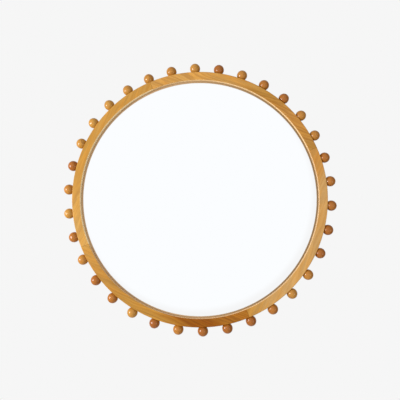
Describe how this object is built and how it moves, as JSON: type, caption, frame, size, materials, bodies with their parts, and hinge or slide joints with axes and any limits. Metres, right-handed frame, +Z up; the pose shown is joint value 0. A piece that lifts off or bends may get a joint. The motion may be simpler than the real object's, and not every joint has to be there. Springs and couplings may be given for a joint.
{
  "type": "round wall mirror",
  "caption": "Flat round wall mirror in a comb-jointed wooden hoop, with turned wooden balls spaced evenly round its rim, turn buttons behind and two D-ring hangers.",
  "frame": {"origin": "on the hoop's axis, halfway in depth between the front of the balls and the wall", "axes": "+Z up as hung, -Y out of the mirror's face into the room, +Y to the wall, +X to the viewer's right"},
  "size_m": [0.7086, 0.0318, 0.7098],
  "materials": {
    "hoop_wood": "honey-brown straight-grained wood under satin lacquer",
    "ball_wood": "turned wood under gloss lacquer, each ball its own tint",
    "silvered_glass": "flat silvered glass",
    "fibreboard": "bare brown fibreboard",
    "nickel_steel": "nickel-plated steel",
    "zinc_steel": "yellow-zinc-plated steel",
    "rubber": "matt dark rubber"
  },
  "bodies": {
    "mirror": {"hoop_quadrant_top": "hoop_wood", "hoop_quadrant_left": "hoop_wood", "hoop_quadrant_bottom": "hoop_wood", "hoop_quadrant_right": "hoop_wood", "ball_01": "ball_wood", "ball_02": "ball_wood", "ball_03": "ball_wood", "ball_04": "ball_wood", "ball_05": "ball_wood", "ball_06": "ball_wood", "ball_07": "ball_wood", "ball_08": "ball_wood", "ball_09": "ball_wood", "ball_10": "ball_wood", "ball_11": "ball_wood", "ball_12": "ball_wood", "ball_13": "ball_wood", "ball_14": "ball_wood", "ball_15": "ball_wood", "ball_16": "ball_wood", "ball_17": "ball_wood", "ball_18": "ball_wood", "ball_19": "ball_wood", "ball_20": "ball_wood", "ball_21": "ball_wood", "ball_22": "ball_wood", "ball_23": "ball_wood", "ball_24": "ball_wood", "ball_25": "ball_wood", "ball_26": "ball_wood", "ball_27": "ball_wood", "ball_28": "ball_wood", "ball_29": "ball_wood", "ball_30": "ball_wood", "ball_31": "ball_wood", "ball_32": "ball_wood", "ball_33": "ball_wood", "ball_34": "ball_wood", "mirror_glass": "silvered_glass", "backing_board": "fibreboard", "button_screw_1": "zinc_steel", "button_screw_2": "zinc_steel", "button_screw_3": "zinc_steel", "button_screw_4": "zinc_steel", "hanger_strap_left": "nickel_steel", "hanger_screw_left": "nickel_steel", "hanger_strap_right": "nickel_steel", "hanger_screw_right": "nickel_steel", "wall_bumper_left": "rubber", "wall_bumper_right": "rubber"},
    "button_1": {"turn_button_1": "zinc_steel"},
    "button_2": {"turn_button_2": "zinc_steel"},
    "button_3": {"turn_button_3": "zinc_steel"},
    "button_4": {"turn_button_4": "zinc_steel"},
    "ring_left": {"hanger_ring_left": "nickel_steel"},
    "ring_right": {"hanger_ring_right": "nickel_steel"}
  },
  "joints": [
    {"name": "button_1_turn", "type": "hinge", "parent": "mirror", "child": "button_1", "pos_m": [0.2314, 0.0095, 0.22392], "axis": [0, 1, 0], "range_deg": [-90, 90]},
    {"name": "button_2_turn", "type": "hinge", "parent": "mirror", "child": "button_2", "pos_m": [-0.20161, 0.0095, 0.25107], "axis": [0, 1, 0], "range_deg": [-90, 90]},
    {"name": "button_3_turn", "type": "hinge", "parent": "mirror", "child": "button_3", "pos_m": [-0.2314, 0.0095, -0.22392], "axis": [0, 1, 0], "range_deg": [-90, 90]},
    {"name": "button_4_turn", "type": "hinge", "parent": "mirror", "child": "button_4", "pos_m": [0.20161, 0.0095, -0.25107], "axis": [0, 1, 0], "range_deg": [-90, 90]},
    {"name": "ring_left_swing", "type": "hinge", "parent": "mirror", "child": "ring_left", "pos_m": [-0.26503, 0.01145, 0.18367], "axis": [-0.8508, 0, 0.5255], "range_deg": [0, 172]},
    {"name": "ring_right_swing", "type": "hinge", "parent": "mirror", "child": "ring_right", "pos_m": [0.26503, 0.01145, 0.18367], "axis": [-0.8508, 0, -0.5255], "range_deg": [0, 172]}
  ]
}
